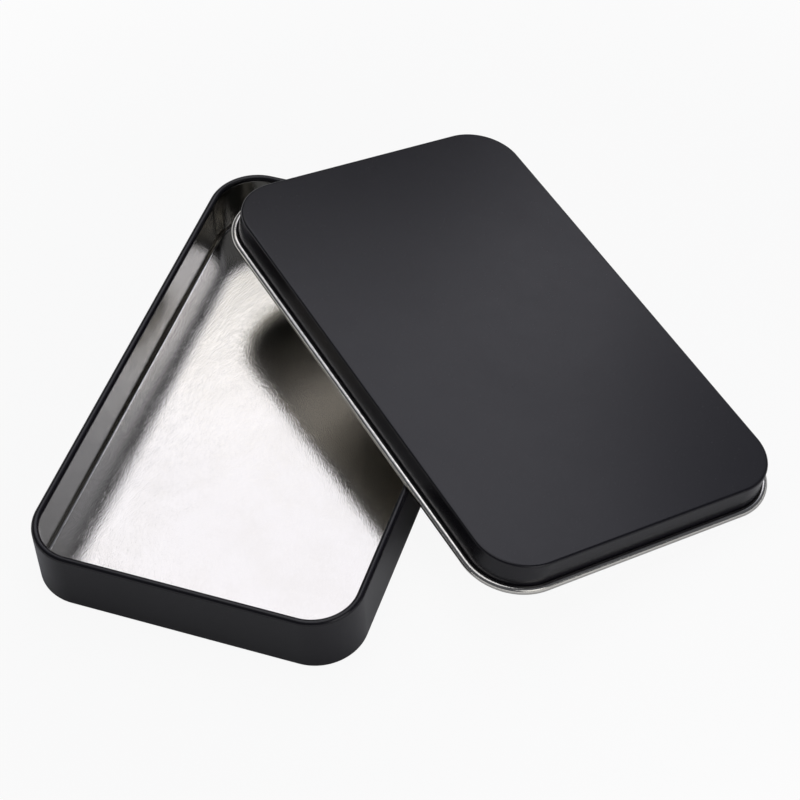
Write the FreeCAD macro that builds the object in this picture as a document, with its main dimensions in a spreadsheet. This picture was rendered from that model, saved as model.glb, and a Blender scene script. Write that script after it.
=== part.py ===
"""Rectangular slip-lid tin box: a shallow drawn tray and its lift-off lid.

Each piece is one sheet of tinplate: a flat panel, a small bend, an upright wall and a rolled edge.
The tray's edge rolls inwards over its wall.  The lid's edge rolls outwards round its skirt.
The lid is off the tray.  It leans on the tray's right and far rims, with one corner on the table.

Frame: +Z up, origin under the middle of the tray, on the surface that it stands on.
+X runs along the tray's short side and +Y along its long side.
"""
import FreeCAD, Part
import math
import os
import Sketcher
from FreeCAD import Vector

SIZES = [
    # alias, value in mm (or as the meaning says), meaning
    ("gauge", 0.25, "thickness of the tinplate"),
    ("base_width", 100.0, "tray, outside, along X"),
    ("base_length", 165.6, "tray, outside, along Y"),
    ("base_height", 20.8, "tray, from its foot to the top of its rolled rim"),
    ("base_corner", 15.2, "tray, outside radius of its upright corners"),
    ("base_bend", 1.5, "tray, outside radius between panel and wall"),
    ("base_roll", 1.13, "tray, outside radius of the rolled rim"),
    ("slip_gap", 0.3, "room between the tray's wall and the lid's skirt"),
    ("lid_height", 10.4, "lid, from its panel to the foot of its rolled edge"),
    ("lid_bend", 0.8, "lid, outside radius between panel and skirt"),
    ("lid_roll", 1.2, "lid, outside radius of the rolled edge"),
    ("roll_gap", 0.15, "room left where a raw edge is rolled back to its wall"),
    ("lid_turn", 49.3, "lid, turned about the vertical, in degrees"),
    ("lid_aside", 0.551, "lid, its middle to the right of the tray's, in tray widths"),
    ("lid_beyond", 0.208, "lid, its middle beyond the tray's, in tray lengths"),
    ("lid_fall", 1.148, "lid, run across it in which it falls by the tray's height, in tray widths"),
    ("lid_rise", 2.030, "lid, run along it in which it rises by the tray's height, in tray lengths"),
]

# The sketcher's numbers for the points of a line or an arc, and for its own origin and X axis.
START, END, CENTRE = 1, 2, 3
ORIGIN = (-1, 1)
X_AXIS = -1


def fill_sheet(doc):
    """Write the driving sizes into a spreadsheet, one named cell each."""
    sheet = doc.addObject("Spreadsheet::Sheet", "Sizes")
    for row, (alias, value, meaning) in enumerate(SIZES, start=1):
        sheet.set(f"A{row}", meaning)
        sheet.set(f"B{row}", str(value))
        sheet.setAlias(f"B{row}", alias)
    doc.recompute()


def measure(owner, formula):
    """Work out a formula on the sheet's sizes."""
    value = owner.evalExpression(formula)
    return float(getattr(value, "Value", value))


def new_sketch(body, name, role):
    """Attach a sketch to one of the body's own origin planes."""
    sketch = body.newObject("Sketcher::SketchObject", name)
    plane = next(feature for feature in body.Origin.OriginFeatures if feature.Role == role)
    sketch.AttachmentSupport = [(plane, "")]
    sketch.MapMode = "FlatFace"
    return sketch


def relate(sketch, *constraint):
    """Add a geometric constraint."""
    return sketch.addConstraint(Sketcher.Constraint(*constraint))


def dimension(sketch, name, formula, *constraint):
    """Add a driving dimension and bind it to the sheet."""
    index = relate(sketch, *constraint, measure(sketch, formula))
    sketch.renameConstraint(index, name)
    sketch.setExpression(f"Constraints.{name}", formula)


def line(sketch, first, second):
    return sketch.addGeometry(Part.LineSegment(Vector(*first, 0), Vector(*second, 0)))


def arc(sketch, centre, radius, first, last):
    """Add an arc that runs anticlockwise between two angles in degrees."""
    circle = Part.Circle(Vector(*centre, 0), Vector(0, 0, 1), radius)
    return sketch.addGeometry(Part.ArcOfCircle(circle, math.radians(first), math.radians(last)))


def draw_rounded_rectangle(sketch, half_width, half_length, corner):
    """Draw a closed outline round the origin that starts where it crosses the X axis."""
    a, b, r = (measure(sketch, formula) for formula in (half_width, half_length, corner))
    right = line(sketch, (a, 0), (a, b - r))
    ends = [right]
    for turn, (x, y) in enumerate([(a, b), (-a, b), (-a, -b), (a, -b)]):
        middle = (x - math.copysign(r, x), y - math.copysign(r, y))
        ends.append(arc(sketch, middle, r, 90 * turn, 90 * turn + 90))
        if turn == 0:
            ends.append(line(sketch, (a - r, b), (r - a, b)))
        elif turn == 1:
            ends.append(line(sketch, (-a, b - r), (-a, r - b)))
        elif turn == 2:
            ends.append(line(sketch, (r - a, -b), (a - r, -b)))
        else:
            ends.append(line(sketch, (a, r - b), (a, 0)))
    for before, after in zip(ends, ends[1:]):
        relate(sketch, "Tangent", before, END, after, START)
    right, _, top, _, left, _, bottom, _, closing = ends
    relate(sketch, "Coincident", closing, END, right, START)
    relate(sketch, "PointOnObject", right, START, X_AXIS)
    for upright in (right, left, closing):
        relate(sketch, "Vertical", upright)
    for level in (top, bottom):
        relate(sketch, "Horizontal", level)
    for corner_arc in ends[3::2]:
        relate(sketch, "Equal", ends[1], corner_arc)
    dimension(sketch, "corner", corner, "Radius", ends[1])
    dimension(sketch, "toRight", half_width, "DistanceX", *ORIGIN, right, START)
    dimension(sketch, "toLeft", half_width, "DistanceX", left, START, *ORIGIN)
    dimension(sketch, "toFar", half_length, "DistanceY", *ORIGIN, top, START)
    dimension(sketch, "toNear", half_length, "DistanceY", bottom, START, *ORIGIN)


def draw_sheet_edge(sketch, wall, panel, bend, roll, rises):
    """Draw the cut sheet from the panel's edge over the bend and the wall to the end of its roll.

    wall is where the wall's outside lies, and panel the height of the panel's outside.
    The tray's wall rises and rolls inwards, the lid's hangs and rolls outwards: both anticlockwise.
    """
    x, z, r, c = (measure(sketch, formula) for formula in (wall, panel, bend, roll))
    t = measure(sketch, "Sizes.gauge")
    gap = measure(sketch, "Sizes.roll_gap")
    turn = 360 - math.degrees(math.acos((c - t - gap) / c))
    if rises:
        up, bend_from, roll_from = 1, 270, 0
        roll_z, roll_x = measure(sketch, "Sizes.base_height") - c, x - c
        outer_radius, inner_radius = c, c - t
        panel_end, wall_end = START, END
    else:
        up, bend_from, roll_from = -1, 0, 180
        roll_z, roll_x = c, x - t + c
        outer_radius, inner_radius = c - t, c
        panel_end, wall_end = END, START
    bend_centre = (x - r, z + up * r)
    roll_centre = (roll_x, roll_z)
    roll_to = roll_from + turn
    away = (math.cos(math.radians(roll_to)), math.sin(math.radians(roll_to)))
    tips = [(roll_x + radius * away[0], roll_z + radius * away[1])
            for radius in (outer_radius, inner_radius)]

    outer_bend = arc(sketch, bend_centre, r, bend_from, bend_from + 90)
    outer_wall = line(sketch, (x, z + up * r), (x, roll_z))
    outer_curl = arc(sketch, roll_centre, outer_radius, roll_from, roll_to)
    raw_edge = line(sketch, *tips)
    inner_curl = arc(sketch, roll_centre, inner_radius, roll_from, roll_to)
    inner_wall = line(sketch, (x - t, roll_z), (x - t, z + up * r))
    inner_bend = arc(sketch, bend_centre, r - t, bend_from, bend_from + 90)
    panel_edge = line(sketch, (x - r, z + up * t), (x - r, z))

    relate(sketch, "Tangent", outer_bend, wall_end, outer_wall, START)
    relate(sketch, "Tangent", outer_wall, END, outer_curl, START)
    relate(sketch, "Coincident", outer_curl, END, raw_edge, START)
    relate(sketch, "Coincident", raw_edge, END, inner_curl, END)
    relate(sketch, "Tangent", inner_curl, START, inner_wall, START)
    relate(sketch, "Tangent", inner_wall, END, inner_bend, wall_end)
    relate(sketch, "Coincident", inner_bend, panel_end, panel_edge, START)
    relate(sketch, "Coincident", panel_edge, END, outer_bend, panel_end)
    relate(sketch, "Coincident", inner_bend, CENTRE, outer_bend, CENTRE)
    relate(sketch, "Coincident", inner_curl, CENTRE, outer_curl, CENTRE)
    for upright in (outer_wall, inner_wall, panel_edge):
        relate(sketch, "Vertical", upright)
    relate(sketch, "Vertical", outer_bend, panel_end, outer_bend, CENTRE)
    relate(sketch, "PointOnObject", outer_curl, CENTRE, raw_edge)

    dimension(sketch, "wall", wall, "DistanceX", *ORIGIN, outer_wall, START)
    dimension(sketch, "bend", bend, "Radius", outer_bend)
    if rises:
        relate(sketch, "PointOnObject", panel_edge, END, X_AXIS)
        dimension(sketch, "gauge", "Sizes.gauge", "DistanceY", panel_edge, END, panel_edge, START)
        dimension(sketch, "roll", roll, "Radius", outer_curl)
        dimension(sketch, "rollUp", f"Sizes.base_height - {roll}",
                  "DistanceY", *ORIGIN, outer_curl, CENTRE)
        dimension(sketch, "rollGap", "Sizes.roll_gap", "DistanceX", raw_edge, START, inner_wall, START)
    else:
        dimension(sketch, "panel", panel, "DistanceY", *ORIGIN, panel_edge, END)
        dimension(sketch, "gauge", "Sizes.gauge", "DistanceY", panel_edge, START, panel_edge, END)
        dimension(sketch, "roll", roll, "Radius", inner_curl)
        dimension(sketch, "rollUp", roll, "DistanceY", *ORIGIN, outer_curl, CENTRE)
        dimension(sketch, "rollGap", "Sizes.roll_gap", "DistanceX", outer_wall, END, raw_edge, END)


def press_piece(doc, name, half_width, half_length, corner, panel, bend, roll, rises):
    """Make one piece of sheet: its panel padded, then its edge swept once round the corners."""
    body = doc.addObject("PartDesign::Body", name)
    body.Label = name

    blank = new_sketch(body, f"{name}_panel", "XY_Plane")
    draw_rounded_rectangle(blank, f"{half_width} - {bend}", f"{half_length} - {bend}",
                           f"{corner} - {bend}")
    blank.setExpression("AttachmentOffset.Base.z", panel)
    pad = body.newObject("PartDesign::Pad", f"{name}_pad")
    pad.Profile = blank
    pad.setExpression("Length", "Sizes.gauge")
    pad.Reversed = not rises

    route = new_sketch(body, f"{name}_route", "XY_Plane")
    draw_rounded_rectangle(route, half_width, half_length, corner)
    edge = new_sketch(body, f"{name}_edge", "XZ_Plane")
    draw_sheet_edge(edge, half_width, panel, bend, roll, rises)
    doc.recompute()
    sweep = body.newObject("PartDesign::AdditivePipe", f"{name}_sweep")
    sweep.Profile = edge
    sweep.Spine = (route, [f"Edge{number + 1}" for number in range(len(route.Shape.Edges))])
    sweep.Transition = "Transformed"
    doc.recompute()
    return body


def lean_lid(lid):
    """Turn and tip the lid, and set it down until the lowest point of its rolled edge is at zero."""
    tip = "asin(Sizes.base_height / (Sizes.lid_fall * Sizes.base_width))"
    rise = "Sizes.base_height / (Sizes.lid_rise * Sizes.base_length)"
    roll = f"asin({rise} / cos({tip}))"
    upright = f"cos({tip}) * cos({roll})"
    reach = "Sizes.base_corner + Sizes.slip_gap + Sizes.lid_roll"
    drop = (f"(Sizes.base_width / 2 - Sizes.base_corner) * sin({tip})"
            f" + (Sizes.base_length / 2 - Sizes.base_corner) * {rise}"
            f" + ({reach}) * sqrt(1 - ({upright})^2) + Sizes.lid_roll * (1 - {upright})")
    lid.setExpression("Placement",
                      "create(<<placement>>; create(<<vector>>; Sizes.lid_aside * Sizes.base_width;"
                      f" Sizes.lid_beyond * Sizes.base_length; {drop});"
                      f" create(<<rotation>>; Sizes.lid_turn; {tip}; {roll}))")


def check_model(doc, pieces):
    """Stop if a feature failed, if a piece isn't one good solid, or if the pieces overlap."""
    for feature in doc.Objects:
        if "Invalid" in feature.State or "Error" in feature.State:
            raise RuntimeError(f"{feature.Label}: {feature.State}")
    for piece in pieces:
        if piece.Shape.isNull() or not piece.Shape.isValid() or len(piece.Shape.Solids) != 1:
            raise RuntimeError(f"{piece.Label} isn't one valid solid")
        box = piece.Shape.BoundBox
        print(f"{piece.Label}: {piece.Shape.Volume:.0f} mm3, X {box.XMin:.2f} to {box.XMax:.2f},"
              f" Y {box.YMin:.2f} to {box.YMax:.2f}, Z {box.ZMin:.3f} to {box.ZMax:.2f}")
    base, lid = pieces
    overlap = base.Shape.common(lid.Shape).Volume
    print(f"overlap {overlap:.4f} mm3, clearance {base.Shape.distToShape(lid.Shape)[0]:.3f} mm")
    if overlap > 1e-3:
        raise RuntimeError("the lid cuts into the tray")


def main():
    doc = FreeCAD.newDocument("SlipLidTin")
    fill_sheet(doc)
    skin = "Sizes.slip_gap + Sizes.gauge"
    base = press_piece(doc, "tin_base", "Sizes.base_width / 2", "Sizes.base_length / 2",
                       "Sizes.base_corner", "0", "Sizes.base_bend", "Sizes.base_roll", rises=True)
    lid = press_piece(doc, "tin_lid", f"Sizes.base_width / 2 + {skin}", f"Sizes.base_length / 2 + {skin}",
                      f"Sizes.base_corner + {skin}", "Sizes.lid_height", "Sizes.lid_bend",
                      "Sizes.lid_roll", rises=False)
    lean_lid(lid)
    doc.recompute()
    check_model(doc, [base, lid])
    os.makedirs("parts", exist_ok=True)
    for piece in (base, lid):
        piece.Shape.exportStep(f"parts/{piece.Label}.step")


main()
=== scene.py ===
import math
import bmesh
import bpy
from mathutils import Euler, Matrix, Vector


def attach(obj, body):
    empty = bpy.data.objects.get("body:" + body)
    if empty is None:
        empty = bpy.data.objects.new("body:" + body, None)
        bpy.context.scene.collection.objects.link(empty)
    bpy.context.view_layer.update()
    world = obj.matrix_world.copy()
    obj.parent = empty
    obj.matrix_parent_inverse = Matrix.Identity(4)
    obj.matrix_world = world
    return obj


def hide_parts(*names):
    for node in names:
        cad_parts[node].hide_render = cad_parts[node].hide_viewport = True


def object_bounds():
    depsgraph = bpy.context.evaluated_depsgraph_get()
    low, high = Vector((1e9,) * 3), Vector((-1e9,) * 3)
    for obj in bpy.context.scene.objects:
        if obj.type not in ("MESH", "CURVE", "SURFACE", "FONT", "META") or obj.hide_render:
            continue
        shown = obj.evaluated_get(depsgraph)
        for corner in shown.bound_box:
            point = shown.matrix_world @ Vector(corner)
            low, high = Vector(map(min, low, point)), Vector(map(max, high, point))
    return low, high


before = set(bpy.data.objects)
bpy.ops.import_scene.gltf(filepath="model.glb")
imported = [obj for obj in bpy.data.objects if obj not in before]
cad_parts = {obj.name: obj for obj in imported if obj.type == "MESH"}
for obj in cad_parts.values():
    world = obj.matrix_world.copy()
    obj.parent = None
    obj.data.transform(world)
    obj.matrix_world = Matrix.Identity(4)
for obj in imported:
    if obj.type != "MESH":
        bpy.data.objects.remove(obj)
cadLow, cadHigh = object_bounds()
middle = (cadLow + cadHigh) / 2
mm = 0.001
print("frame loaded")


# a shader socket that can be added, subtracted and multiplied
class Signal:
    def __init__(self, finish, socket):
        self.finish = finish
        self.socket = socket

    def worked(self, operation, first, second):
        return self.finish.add("ShaderNodeMath", {"operation": operation}, {0: first, 1: second})

    def __add__(self, other):
        return self.worked("ADD", self, other)

    def __radd__(self, other):
        return self.worked("ADD", other, self)

    def __sub__(self, other):
        return self.worked("SUBTRACT", self, other)

    def __rsub__(self, other):
        return self.worked("SUBTRACT", other, self)

    def __mul__(self, other):
        return self.worked("MULTIPLY", self, other)

    def __rmul__(self, other):
        return self.worked("MULTIPLY", other, self)


# the nodes of one finish: a new material's, or those of the tree it is given
class Finish:
    def __init__(self, name, tree=None):
        self.owner = None
        if tree is None:
            self.owner = bpy.data.materials.new(name)
            self.owner.use_nodes = True
            tree = self.owner.node_tree
        tree.nodes.clear()
        self.tree = tree

    def add(self, kind, settings=None, values=None, output=0):
        node = self.tree.nodes.new(kind)
        for name, setting in (settings or {}).items():
            setattr(node, name, setting)
        for name, value in (values or {}).items():
            if isinstance(value, Signal):
                self.tree.links.new(value.socket, node.inputs[name])
            else:
                node.inputs[name].default_value = value
        return Signal(self, node.outputs[output]) if node.outputs else node

    def noise(self, where, size, detail=2.0, roughness=0.5, output=0):
        return self.add(
            "ShaderNodeTexNoise",
            {"noise_dimensions": "3D"},
            {"Vector": where, "Scale": 1 / size, "Detail": detail, "Roughness": roughness},
            output,
        )

    def vectorMath(self, operation, values, output=0):
        return self.add("ShaderNodeVectorMath", {"operation": operation}, values, output)

    def between(self, signal, low, high):
        return self.add(
            "ShaderNodeMapRange",
            {"interpolation_type": "SMOOTHSTEP"},
            {"Value": signal, "From Min": low, "From Max": high},
        )

    def blended(self, share, first, second):
        return self.add("ShaderNodeMix", {"data_type": "RGBA"}, {0: share, 6: first, 7: second}, 2)

    def bump(self, height, depth, normal=None):
        values = {"Height": height, "Distance": depth, "Strength": 1.0}
        if normal is not None:
            values["Normal"] = normal
        return self.add("ShaderNodeBump", None, values)

    def principled(self, values):
        surface = self.add("ShaderNodeBsdfPrincipled", None, values)
        self.add("ShaderNodeOutputMaterial", None, {"Surface": surface})
        return self.owner


# the tinplate sheet: its edge is drawn as a line, then carried round the box
sheet = {
    "gauge": 0.25 * mm,
    "bendSteps": 10,
    "rollSteps": 40,
    "cornerSteps": 28,
    "supportRing": 0.6 * mm,   # keeps the flat panels flat up to their bends
    "weld": 0.001 * mm,
    "sharpAngle": 40,   # degrees; only the cut edge of the sheet is sharper
}


def panelHeight(piece, depth):
    # of the panel's face that lies depth inside the piece
    return depth if piece["opensUp"] else piece["height"] - depth


def runTo(mesh, tip, out, rise):
    grown = bmesh.ops.extrude_vert_indiv(mesh, verts=[tip])["verts"]
    bmesh.ops.translate(mesh, verts=grown, vec=Vector((out, tip.co.y, rise)) - tip.co)
    return grown[0]


def turnRound(mesh, tip, centre, turn, steps):
    spun = bmesh.ops.spin(
        mesh,
        geom=[tip],
        cent=(centre[0], tip.co.y, centre[1]),
        axis=(0, -1, 0),
        angle=math.radians(turn),
        steps=steps,
    )
    return [part for part in spun["geom_last"] if isinstance(part, bmesh.types.BMVert)][0]


def drawFace(mesh, piece, depth):
    # one face of the sheet: panel's edge, bend, wall, roll; depth is 0 outside, a gauge inside
    bend, wall = piece["bend"], piece["halfWidth"]
    side = 1 if piece["opensUp"] else -1
    bendCentre = (wall - bend, panelHeight(piece, 0) + side * bend)
    start = Vector((wall - bend, piece["corner"] - piece["halfLength"], panelHeight(piece, depth)))
    tip = bmesh.ops.create_vert(mesh, co=start)["vert"][0]
    tip = turnRound(mesh, tip, bendCentre, side * 90, sheet["bendSteps"])
    tip = runTo(mesh, tip, wall - depth, piece["rollCentre"][1])
    return turnRound(mesh, tip, piece["rollCentre"], piece["rollTurn"], sheet["rollSteps"])


def carryRound(mesh, line, piece, finishIndex):
    # along each side, then a quarter turn round the corner at its end
    known = set(mesh.faces)
    alongX = piece["halfWidth"] - piece["corner"]
    alongY = piece["halfLength"] - piece["corner"]
    corners = [(alongX, alongY), (-alongX, alongY), (-alongX, -alongY), (alongX, -alongY)]
    last = Vector((*corners[3], 0))
    front = line
    for corner in corners:
        here = Vector((*corner, 0))
        edges = [part for part in front if isinstance(part, bmesh.types.BMEdge)]
        grown = bmesh.ops.extrude_edge_only(mesh, edges=edges)["geom"]
        fresh = [part for part in grown if isinstance(part, bmesh.types.BMVert)]
        bmesh.ops.translate(mesh, verts=fresh, vec=here - last)
        rim = [p for p in grown if isinstance(p, bmesh.types.BMEdge) and set(p.verts) <= set(fresh)]
        front = bmesh.ops.spin(
            mesh,
            geom=[*fresh, *rim],
            cent=here,
            axis=(0, 0, 1),
            angle=math.radians(90),
            steps=sheet["cornerSteps"],
        )["geom_last"]
        last = here
    for face in set(mesh.faces) - known:
        face.material_index = finishIndex


def fillPanel(mesh, level, finishIndex):
    openEdges = [
        edge for edge in mesh.edges
        if edge.is_boundary and all(abs(v.co.z - level) < sheet["weld"] for v in edge.verts)
    ]
    panel = bmesh.ops.holes_fill(mesh, edges=openEdges, sides=0)["faces"]
    for face in panel:
        face.material_index = finishIndex
    bmesh.ops.inset_region(mesh, faces=panel, thickness=sheet["supportRing"], use_even_offset=True)


def pressSheet(name, piece, finishes, lean=None):
    mesh = bmesh.new()
    ends = []
    for finishIndex, depth in enumerate((0, sheet["gauge"])):
        before = set(mesh.verts)
        tip = drawFace(mesh, piece, depth)
        if ends:
            runTo(mesh, tip, ends[0].x, ends[0].z)   # the cut edge of the sheet
        ends.append(tip.co.copy())
        drawn = set(mesh.verts) - before
        line = [edge for edge in mesh.edges if set(edge.verts) <= drawn]
        carryRound(mesh, line, piece, finishIndex)
        bmesh.ops.remove_doubles(mesh, verts=mesh.verts, dist=sheet["weld"])
        fillPanel(mesh, panelHeight(piece, depth), finishIndex)
    bmesh.ops.recalc_face_normals(mesh, faces=mesh.faces)
    for face in mesh.faces:
        face.smooth = True
    for edge in mesh.edges:
        edge.smooth = edge.calc_face_angle(0) < math.radians(sheet["sharpAngle"])
    if lean is not None:
        bmesh.ops.transform(mesh, matrix=lean, verts=mesh.verts)
    print(name, "faces", len(mesh.faces), "volume", round(mesh.calc_volume() / mm ** 3, 1))
    data = bpy.data.meshes.new(name)
    mesh.to_mesh(data)
    mesh.free()
    pressing = bpy.data.objects.new(name, data)
    bpy.context.scene.collection.objects.link(pressing)
    for finish in finishes:
        data.materials.append(finish)
    smoothing = pressing.modifiers.new("flatPanels", "WEIGHTED_NORMAL")
    smoothing.keep_sharp = True
    return pressing


enamel = {
    "colour": (0.0070, 0.0062, 0.0090, 1),
    "roughness": 0.24,
    "index": 1.47,
    "smudge": 0.10,   # how far the roughness strays in the smudges
    "cloudSize": 30 * mm,
    "cloudShare": 0.6,
    "smearSize": 7 * mm,
    "smearShare": 0.4,
    "speckColour": (0.035, 0.034, 0.036, 1),
    "speckSize": 0.55 * mm,
    "speckFrom": 0.735,   # the rare peaks of the noise that show as specks
    "speckTo": 0.80,
    "speckShare": 0.6,
    "speckRoughness": 0.1,
    "peel": 0.0012 * mm,
    "peelSize": 0.9 * mm,
    "wave": 0.05 * mm,
    "waveSize": 45 * mm,
}


def makeEnamel():
    finish = Finish("satinBlackEnamel")
    where = finish.add("ShaderNodeTexCoord", output=3)
    cloud = finish.noise(where, enamel["cloudSize"], 3, 0.6)
    smear = finish.noise(where, enamel["smearSize"], 4, 0.65)
    grit = finish.noise(where, enamel["speckSize"], 1)
    speck = finish.between(grit, enamel["speckFrom"], enamel["speckTo"])
    colour = finish.blended(speck * enamel["speckShare"], enamel["colour"], enamel["speckColour"])
    smudge = (cloud * enamel["cloudShare"] + smear * enamel["smearShare"] - 0.5) * enamel["smudge"]
    roughness = enamel["roughness"] + smudge + speck * enamel["speckRoughness"]
    wave = finish.bump(finish.noise(where, enamel["waveSize"], 1), enamel["wave"])
    peel = finish.bump(finish.noise(where, enamel["peelSize"]), enamel["peel"], wave)
    return finish.principled(
        {"Base Color": colour, "Roughness": roughness, "IOR": enamel["index"], "Normal": peel}
    )


tinplate = {
    "colour": (0.735, 0.717, 0.673, 1),
    "dullColour": (0.712, 0.692, 0.643, 1),
    "dullFrom": 0.40,
    "dullTo": 0.62,
    "roughness": 0.13,
    "cloudSize": 22 * mm,
    "cloudShare": 0.6,
    "cloudiness": 0.05,   # how far the roughness strays in the clouds
    "streakAcross": 0.38 * mm,
    "streakAlong": 1.2 * mm,
    "streakDepth": 0.040 * mm,
    "streakShare": 0.4,
    "scratchAcross": 0.10 * mm,
    "scratchAlong": 6 * mm,
    "scratchDepth": 0.0004 * mm,
    "scratchRoughness": 0.06,
    "wander": 1.6 * mm,   # how far the streaks stray from straight
    "wanderSize": 6 * mm,
}


def makeTinplate(name, lean=None):
    # the streaks run along the piece's long side, which lean turns and tips
    finish = Finish(name)
    where = finish.add("ShaderNodeTexCoord", output=3)
    if lean is not None:
        where = finish.add(
            "ShaderNodeMapping",
            {"vector_type": "TEXTURE"},
            {"Vector": where, "Location": lean.to_translation(), "Rotation": lean.to_euler()},
        )
    drift = finish.noise(where, tinplate["wanderSize"], output=1)
    centred = finish.vectorMath("SUBTRACT", {0: drift, 1: (0.5, 0.5, 0.5)})
    shift = finish.vectorMath("SCALE", {0: centred, "Scale": tinplate["wander"]})
    drawn = finish.vectorMath("ADD", {0: where, 1: shift})

    def grain(across, along, detail):
        stretched = finish.add(
            "ShaderNodeMapping",
            {"vector_type": "POINT"},
            {"Vector": drawn, "Scale": (1 / across, 1 / along, 1 / along)},
        )
        return finish.noise(stretched, 1, detail, 0.55)

    streak = grain(tinplate["streakAcross"], tinplate["streakAlong"], 3)
    scratch = grain(tinplate["scratchAcross"], tinplate["scratchAlong"], 2)
    cloud = finish.noise(where, tinplate["cloudSize"], 4, 0.6)
    mottle = cloud * tinplate["cloudShare"] + streak * tinplate["streakShare"]
    dull = finish.between(mottle, tinplate["dullFrom"], tinplate["dullTo"])
    colour = finish.blended(dull, tinplate["colour"], tinplate["dullColour"])
    clouded = tinplate["roughness"] + (cloud - 0.5) * tinplate["cloudiness"]
    roughness = clouded + (scratch - 0.5) * tinplate["scratchRoughness"]
    rolled = finish.bump(streak, tinplate["streakDepth"])
    scored = finish.bump(scratch, tinplate["scratchDepth"], rolled)
    return finish.principled(
        {"Base Color": colour, "Metallic": 1.0, "Roughness": roughness, "Normal": scored}
    )


# the tray: its wall rises and its rim rolls inwards
rollOfTray = 1.13 * mm
tray = {
    "opensUp": True,
    "halfWidth": 50 * mm,
    "halfLength": 82.8 * mm,
    "corner": 15.2 * mm,
    "height": 20.8 * mm,
    "bend": 1.5 * mm,
    "rollCentre": (50 * mm - rollOfTray, 20.8 * mm - rollOfTray),
    "rollTurn": 310.2,
}

blackEnamel = makeEnamel()
trayPressing = pressSheet("trayPressing", tray, [blackEnamel, makeTinplate("trayTinplate")])
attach(trayPressing, "root")
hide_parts("tin_base")
print("tray pressed")


# the lid: its skirt hangs and its edge rolls outwards; it leans across the tray
rollOfLid = 1.2 * mm
lid = {
    "opensUp": False,
    "halfWidth": 50.55 * mm,
    "halfLength": 83.35 * mm,
    "corner": 15.75 * mm,
    "height": 10.4 * mm,
    "bend": 0.8 * mm,
    "rollCentre": (50.55 * mm - sheet["gauge"] + rollOfLid, rollOfLid),
    "rollTurn": 311.8,
    "place": (55.1 * mm, 34.4448 * mm, 13.7074 * mm),
    "lean": (3.60715, 10.43877, 49.3),   # roll, tip and turn in degrees
}

turnOfLid = Euler([math.radians(angle) for angle in lid["lean"]]).to_matrix()
leanOfLid = Matrix.Translation(lid["place"]) @ turnOfLid.to_4x4()
lidFinishes = [blackEnamel, makeTinplate("lidTinplate", leanOfLid)]
lidPressing = pressSheet("lidPressing", lid, lidFinishes, leanOfLid)
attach(lidPressing, "root")
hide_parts("tin_lid")
print("lid pressed")


studio = {
    "floorColour": (0.88, 0.88, 0.88, 1),
    "floorRadius": 4.0,
    "floorDrop": 0.02 * mm,   # keeps the floor just clear of the tray's underside
    "white": (1, 1, 1, 1),
    "nearWhite": 0.92,   # how far the floor by the box is lifted to white; its shadow stays
    "whiteFrom": 0.14,
    "whiteTo": 0.40,
    "fill": 0.10,
    "fillColour": (0.95, 0.98, 1.10, 1),
    "horizon": 0.10,   # height of the pale band behind everything, as a sine
    "unmirrored": "tableLamp",   # lights the table and shows in no reflection
    "softboxes": {
        # shape, azimuth from +Y, elevation, roll, distance, width, height, radiance, tint
        "backSoftbox": ("RECTANGLE", -13.4, 51.3, 21, 1.10, 0.86, 0.44, 1.18, (1, 0.995, 1.09)),
        "warmSoftbox": ("RECTANGLE", -28, 41, 25, 1.10, 0.33, 0.13, 0.60, (1, 0.96, 0.84)),
        "lowSoftbox": ("RECTANGLE", 7, 31, 13, 1.10, 0.26, 0.16, 0.8, (1, 0.985, 1.09)),
        "leftSoftbox": ("RECTANGLE", -57, 45, 0, 1.10, 0.36, 0.36, 0.30, (1, 0.955, 0.93)),
        "stripSoftbox": ("RECTANGLE", -78, 54, 0, 1.10, 0.34, 0.22, 0.7, (0.95, 0.97, 1.10)),
        "topSoftbox": ("ELLIPSE", -40, 84, 0, 1.00, 0.80, 0.80, 1.0, (1, 1, 1.05)),
        "sideSoftbox": ("RECTANGLE", 25, 45, 0, 1.10, 0.36, 0.50, 0.24, (0.94, 0.97, 1.16)),
        "rightSoftbox": ("RECTANGLE", 118, 28, 0, 1.10, 0.64, 0.60, 1.0, (1, 1, 1)),
        "tableLamp": ("RECTANGLE", 130, 21, 0, 0.283, 0.12, 0.12, 3.0, (1, 1, 1)),
    },
}


def seenBy(finish, rays):
    seen = finish.add("ShaderNodeLightPath", output=rays[0])
    for ray in rays[1:]:
        seen = seen.worked("MAXIMUM", seen, finish.add("ShaderNodeLightPath", output=ray))
    return seen


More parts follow.
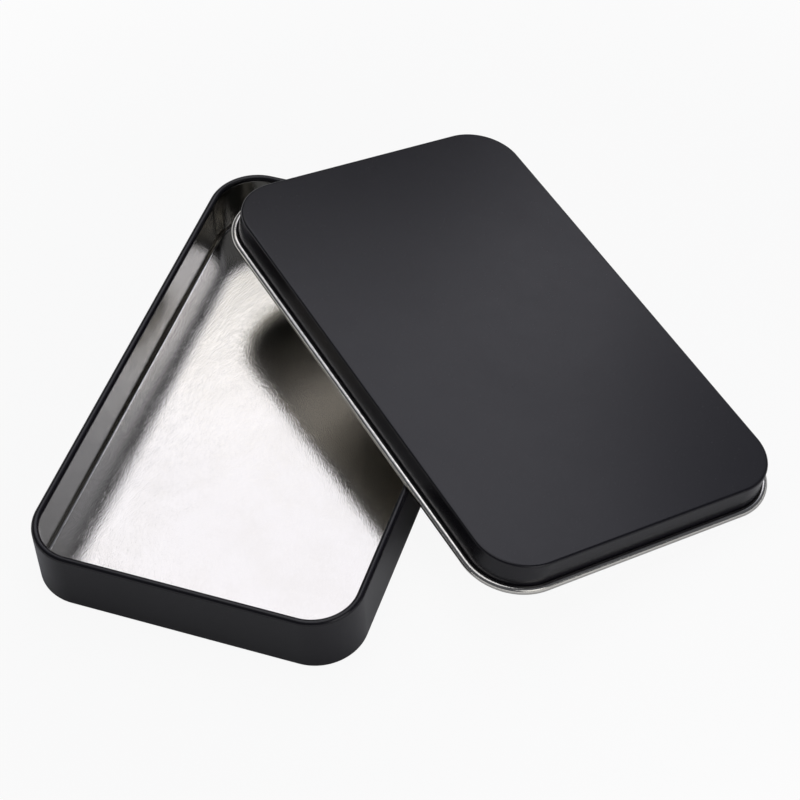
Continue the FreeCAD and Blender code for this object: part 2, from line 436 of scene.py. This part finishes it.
def makeFloor():
    # matt to the lamps; lifted towards plain white where the camera and reflections see it
    mesh = bmesh.new()
    bmesh.ops.create_circle(mesh, cap_ends=True, radius=studio["floorRadius"], segments=96)
    bmesh.ops.translate(mesh, verts=mesh.verts, vec=(middle.x, middle.y, -studio["floorDrop"]))
    data = bpy.data.meshes.new("floor")
    mesh.to_mesh(data)
    mesh.free()
    floor = bpy.data.objects.new("floor", data)
    bpy.context.scene.collection.objects.link(floor)
    finish = Finish("paleFloor")
    where = finish.add("ShaderNodeTexCoord", output=3)
    away = finish.vectorMath("DISTANCE", {0: where, 1: (middle.x, middle.y, 0)}, 1)
    far = finish.between(away, studio["whiteFrom"], studio["whiteTo"])
    direct = seenBy(finish, ["Is Camera Ray"])
    mirrored = seenBy(finish, ["Is Glossy Ray", "Is Transmission Ray"])
    lifted = studio["nearWhite"] + far * (1 - studio["nearWhite"])
    share = direct * lifted + mirrored * far
    white = finish.add("ShaderNodeEmission", None, {"Color": studio["white"], "Strength": 1.0})
    matt = finish.add("ShaderNodeBsdfDiffuse", None, {"Color": studio["floorColour"]})
    surface = finish.add("ShaderNodeMixShader", None, {0: share, 1: matt, 2: white})
    finish.add("ShaderNodeOutputMaterial", None, {"Surface": surface})
    data.materials.append(finish.owner)


def hangSoftboxes():
    for name, hanging in studio["softboxes"].items():
        shape, azimuth, elevation, roll, distance, width, height, radiance, tint = hanging
        a, e = math.radians(azimuth), math.radians(elevation)
        toward = Vector((math.sin(a) * math.cos(e), math.cos(a) * math.cos(e), math.sin(e)))
        lamp = bpy.data.lights.new(name, "AREA")
        lamp.shape = shape
        lamp.size, lamp.size_y = width, height
        area = width * height * (math.pi / 4 if shape == "ELLIPSE" else 1)
        lamp.energy = radiance * math.pi * area
        lamp.color = tint
        box = bpy.data.objects.new(name, lamp)
        facing = toward.to_track_quat("Z", "Y").to_matrix()
        hung = facing @ Matrix.Rotation(math.radians(roll), 3, "Z")
        box.matrix_world = Matrix.Translation(middle + toward * distance) @ hung.to_4x4()
        box.visible_glossy = name != studio["unmirrored"]
        bpy.context.scene.collection.objects.link(box)


def fillRoom():
    # white to the camera and, up to the top of the pale band, in reflections; a dim fill elsewhere
    world = bpy.data.worlds.new("room")
    bpy.context.scene.world = world
    world.use_nodes = True
    room = Finish("room", world.node_tree)
    where = room.add("ShaderNodeTexCoord", output="Generated")
    rise = room.add("ShaderNodeSeparateXYZ", None, {0: where}, 2)
    low = 1 - room.between(rise, 0.0, studio["horizon"])
    direct = seenBy(room, ["Is Camera Ray"])
    mirrored = seenBy(room, ["Is Glossy Ray", "Is Transmission Ray"]) * low
    share = direct.worked("MAXIMUM", direct, mirrored)
    fill = room.add(
        "ShaderNodeBackground", None, {"Color": studio["fillColour"], "Strength": studio["fill"]}
    )
    white = room.add("ShaderNodeBackground", None, {"Color": studio["white"], "Strength": 1.0})
    surface = room.add("ShaderNodeMixShader", None, {0: share, 1: fill, 2: white})
    room.add("ShaderNodeOutputWorld", None, {"Surface": surface})


makeFloor()
hangSoftboxes()
fillRoom()
print("studio lit")


view = {
    "place": (0.18622, -0.40233, 0.51288),
    "aim": (0.03335, 0.01136, 0.01),
    "roll": -2.24,
    "lens": 99.16,
    "sensor": 36,
    "nearest": 0.01,
}

camera = bpy.data.objects.new("camera", bpy.data.cameras.new("camera"))
camera.data.lens = view["lens"]
camera.data.sensor_width = view["sensor"]
camera.data.clip_start = view["nearest"]
look = Vector(view["aim"]) - Vector(view["place"])
level = look.to_track_quat("-Z", "Y").to_matrix()
turned = level @ Matrix.Rotation(math.radians(view["roll"]), 3, "Z")
camera.matrix_world = Matrix.Translation(view["place"]) @ turned.to_4x4()
bpy.context.scene.collection.objects.link(camera)
bpy.context.scene.camera = camera
bpy.context.scene.view_settings.view_transform = "Standard"
print("camera set")
